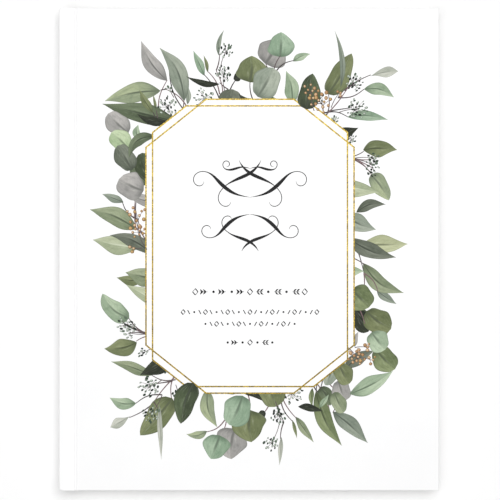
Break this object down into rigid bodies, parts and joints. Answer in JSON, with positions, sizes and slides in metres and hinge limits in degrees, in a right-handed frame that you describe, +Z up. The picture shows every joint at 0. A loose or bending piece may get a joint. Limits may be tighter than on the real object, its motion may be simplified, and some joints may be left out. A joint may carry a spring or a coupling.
{
  "type": "wedding guest book",
  "caption": "Hardcover case-bound guest book with blank pages, a white cover with a leaf wreath and double gold octagon frame, opening cover and lay-flat page block.",
  "frame": {"origin": "centre of the closed book's footprint, on the surface that the rear cover lies on", "axes": "+X from the spine to the fore-edge, +Y from the tail to the head (up on the cover design), +Z up through the thickness to the front cover"},
  "size_m": [0.225, 0.2858, 0.0147],
  "materials": {
    "cover_wrap": "white printed cover sheet with a smooth matt laminate",
    "greyboard": "grey binder's board",
    "endpaper": "plain heavy white endpaper",
    "page_paper": "uncoated white page paper",
    "gauze": "open woven binder's gauze with glue",
    "lining_paper": "brown kraft lining",
    "headband": "white woven band",
    "thread": "waxed linen thread"
  },
  "bodies": {
    "rear_cover": {"rear_board": "greyboard", "rear_cover_wrap": "cover_wrap", "rear_pastedown": "endpaper", "rear_joint_cloth": "cover_wrap", "rear_flyleaf": "endpaper", "section_7": "page_paper", "section_6": "page_paper", "section_5": "page_paper", "section_4_rear_half": "page_paper", "rear_spine_gauze": "gauze", "rear_spine_lining": "lining_paper", "rear_headband": "headband", "rear_tailband": "headband", "sewing_thread": "thread"},
    "spine": {"spine_board": "greyboard", "spine_wrap": "cover_wrap"},
    "front_pages": {"section_1": "page_paper", "section_2": "page_paper", "section_3": "page_paper", "section_4_front_half": "page_paper", "front_spine_gauze": "gauze", "front_spine_lining": "lining_paper", "front_headband": "headband", "front_tailband": "headband", "front_joint_cloth": "cover_wrap"},
    "front_cover": {"front_board": "greyboard", "front_cover_wrap": "cover_wrap", "front_pastedown": "endpaper"},
    "front_flyleaf": {"front_flyleaf": "endpaper"},
    "front_centre_leaf": {"front_centre_leaf": "page_paper"},
    "rear_centre_leaf": {"rear_centre_leaf": "page_paper"}
  },
  "joints": [
    {"name": "pages_open", "type": "hinge", "parent": "rear_cover", "child": "front_pages", "pos_m": [-0.1092, 0, 0.00735], "axis": [0, -1, 0], "range_deg": [0, 180]},
    {"name": "spine_turn", "type": "hinge", "parent": "rear_cover", "child": "spine", "pos_m": [-0.10718, 0, 0.00532], "axis": [0, -1, 0], "range_deg": [0, 90], "deforming": ["rear_joint_cloth"]},
    {"name": "front_cover_hinge", "type": "hinge", "parent": "front_pages", "child": "front_cover", "pos_m": [-0.1015, 0, 0.0148], "axis": [0, 1, 0], "range_deg": [-180, 0], "deforming": ["front_joint_cloth"]},
    {"name": "front_flyleaf_turn", "type": "hinge", "parent": "front_pages", "child": "front_flyleaf", "pos_m": [-0.1015, 0, 0.0148], "axis": [0, 1, 0], "range_deg": [-172.8, 0]},
    {"name": "front_centre_leaf_turn", "type": "hinge", "parent": "rear_cover", "child": "front_centre_leaf", "pos_m": [-0.1092, 0, 0.00735], "axis": [0, -1, 0], "range_deg": [0, 135]},
    {"name": "rear_centre_leaf_turn", "type": "hinge", "parent": "rear_cover", "child": "rear_centre_leaf", "pos_m": [-0.1092, 0, 0.00735], "axis": [0, -1, 0], "range_deg": [0, 54]}
  ],
  "couplings": [
    {"joint": "spine_turn", "follows": "pages_open", "ratio": 0.5},
    {"joint": "front_centre_leaf_turn", "follows": "pages_open", "ratio": 0.75},
    {"joint": "rear_centre_leaf_turn", "follows": "pages_open", "ratio": 0.3},
    {"joint": "front_flyleaf_turn", "follows": "front_cover_hinge", "ratio": 0.96}
  ]
}
